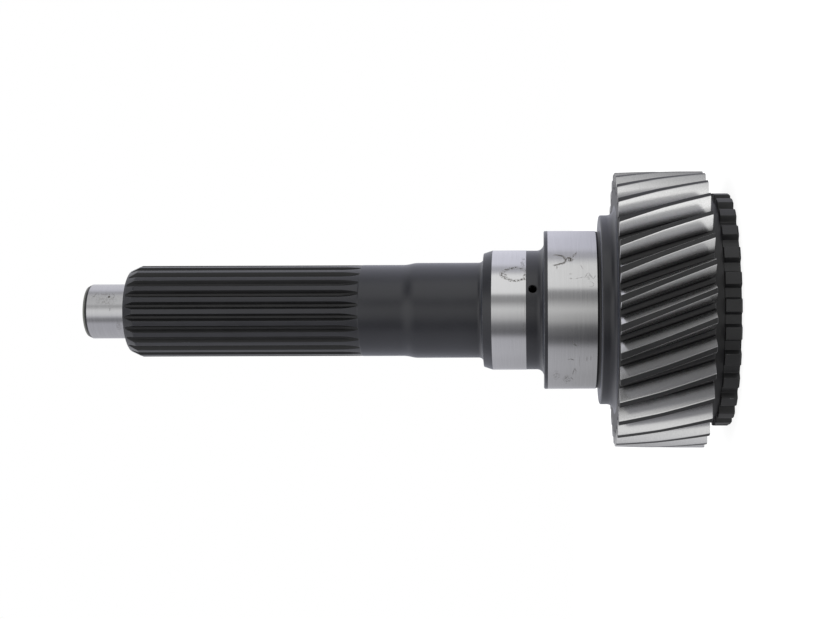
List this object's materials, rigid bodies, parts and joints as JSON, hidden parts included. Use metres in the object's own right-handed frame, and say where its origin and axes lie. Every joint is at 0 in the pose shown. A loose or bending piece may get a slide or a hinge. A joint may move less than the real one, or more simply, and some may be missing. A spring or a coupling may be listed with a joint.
{
  "type": "gearbox input shaft",
  "caption": "One-piece gearbox input shaft with a splined clutch end, two ground bearing seats, a left-hand helical gear and a dog ring at its base.",
  "frame": {"origin": "centre of the dog ring's end face, on which the shaft stands", "axes": "+Z along the shaft axis, from the dog ring up to the pilot"},
  "size_m": [0.1542, 0.1542, 0.3573],
  "materials": {
    "black_steel": "dark phosphate finish, satin",
    "ground_steel": "bright ground steel with fine grinding lines"
  },
  "bodies": {
    "root": {"input_shaft": "black_steel"}
  },
  "joints": []
}
